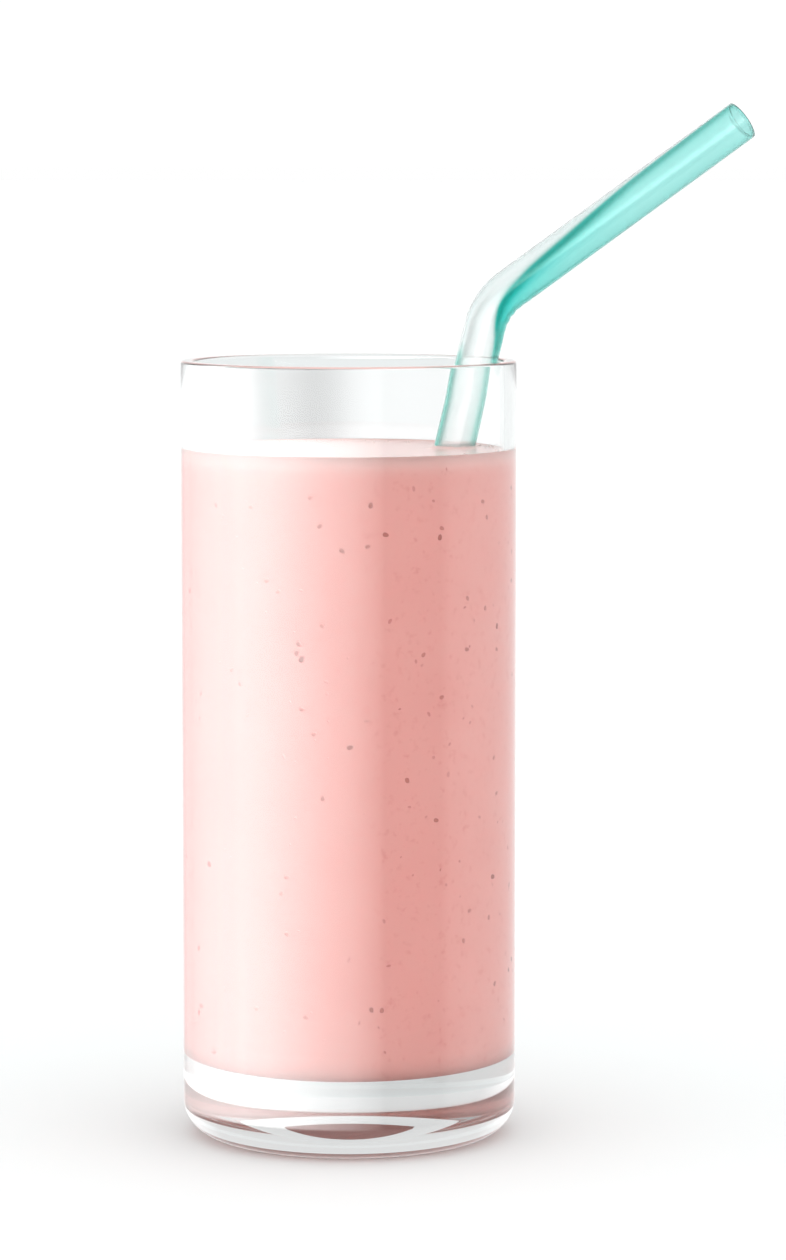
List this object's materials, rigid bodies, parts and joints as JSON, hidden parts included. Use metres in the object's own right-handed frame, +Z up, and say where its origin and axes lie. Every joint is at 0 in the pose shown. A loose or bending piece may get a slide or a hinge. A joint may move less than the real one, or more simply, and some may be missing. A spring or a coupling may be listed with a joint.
{
  "type": "strawberry smoothie",
  "caption": "Strawberry smoothie in a straight clear highball tumbler with a heavy base and a bent turquoise drinking straw leaning on the lip",
  "frame": {"origin": "middle of the flat foot that the tumbler stands on", "axes": "+Z up along the tumbler, from the foot to the straw's open end; +X to the side that the straw's arm points to; +Y to the back"},
  "size_m": [0.1209, 0.07, 0.2162],
  "materials": {
    "glass": "clear soda-lime glass, fire-polished",
    "smoothie": "opaque pink strawberry and milk smoothie with seeds and pulp",
    "straw": "thin translucent polypropylene, half of it tinted turquoise"
  },
  "bodies": {
    "root": {"glass": "glass", "smoothie": "smoothie", "straw": "straw"}
  },
  "joints": []
}
